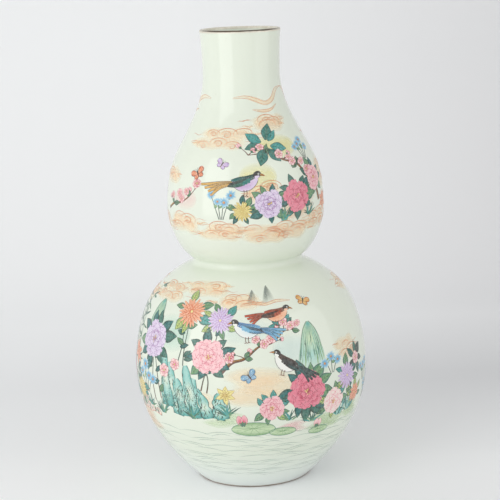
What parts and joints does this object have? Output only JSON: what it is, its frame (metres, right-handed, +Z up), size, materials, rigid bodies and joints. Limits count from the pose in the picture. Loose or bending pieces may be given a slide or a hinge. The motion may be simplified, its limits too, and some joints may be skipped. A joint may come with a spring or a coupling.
{
  "type": "double gourd vase",
  "caption": "Double gourd vase of pale glazed porcelain: a large round bulb, a narrow waist, a smaller bulb and a straight open neck with a gilded lip, on a turned foot ring.",
  "frame": {"origin": "centre of the foot, on the surface that the vase stands on", "axes": "+Z up along the turning axis; X and Y are alike, because every piece is turned"},
  "size_m": [0.238, 0.238, 0.46],
  "materials": {
    "glazed_porcelain": "glossy pale green-white glaze, painted over the glaze in enamels",
    "luting_slip": "fired porcelain slip under the glaze",
    "biscuit_foot": "bare fired clay on the standing edge, glazed above it",
    "gilding": "thin fired gilding, worn brown"
  },
  "bodies": {
    "root": {"foot_ring": "biscuit_foot", "foot_slip": "luting_slip", "base_disc": "glazed_porcelain", "floor_slip": "luting_slip", "lower_bowl": "glazed_porcelain", "belly_slip": "luting_slip", "lower_shoulder": "glazed_porcelain", "waist_slip": "luting_slip", "upper_bowl": "glazed_porcelain", "upper_belly_slip": "luting_slip", "upper_shoulder": "glazed_porcelain", "neck_slip": "luting_slip", "neck": "glazed_porcelain", "rim_gilding": "gilding"}
  },
  "joints": []
}
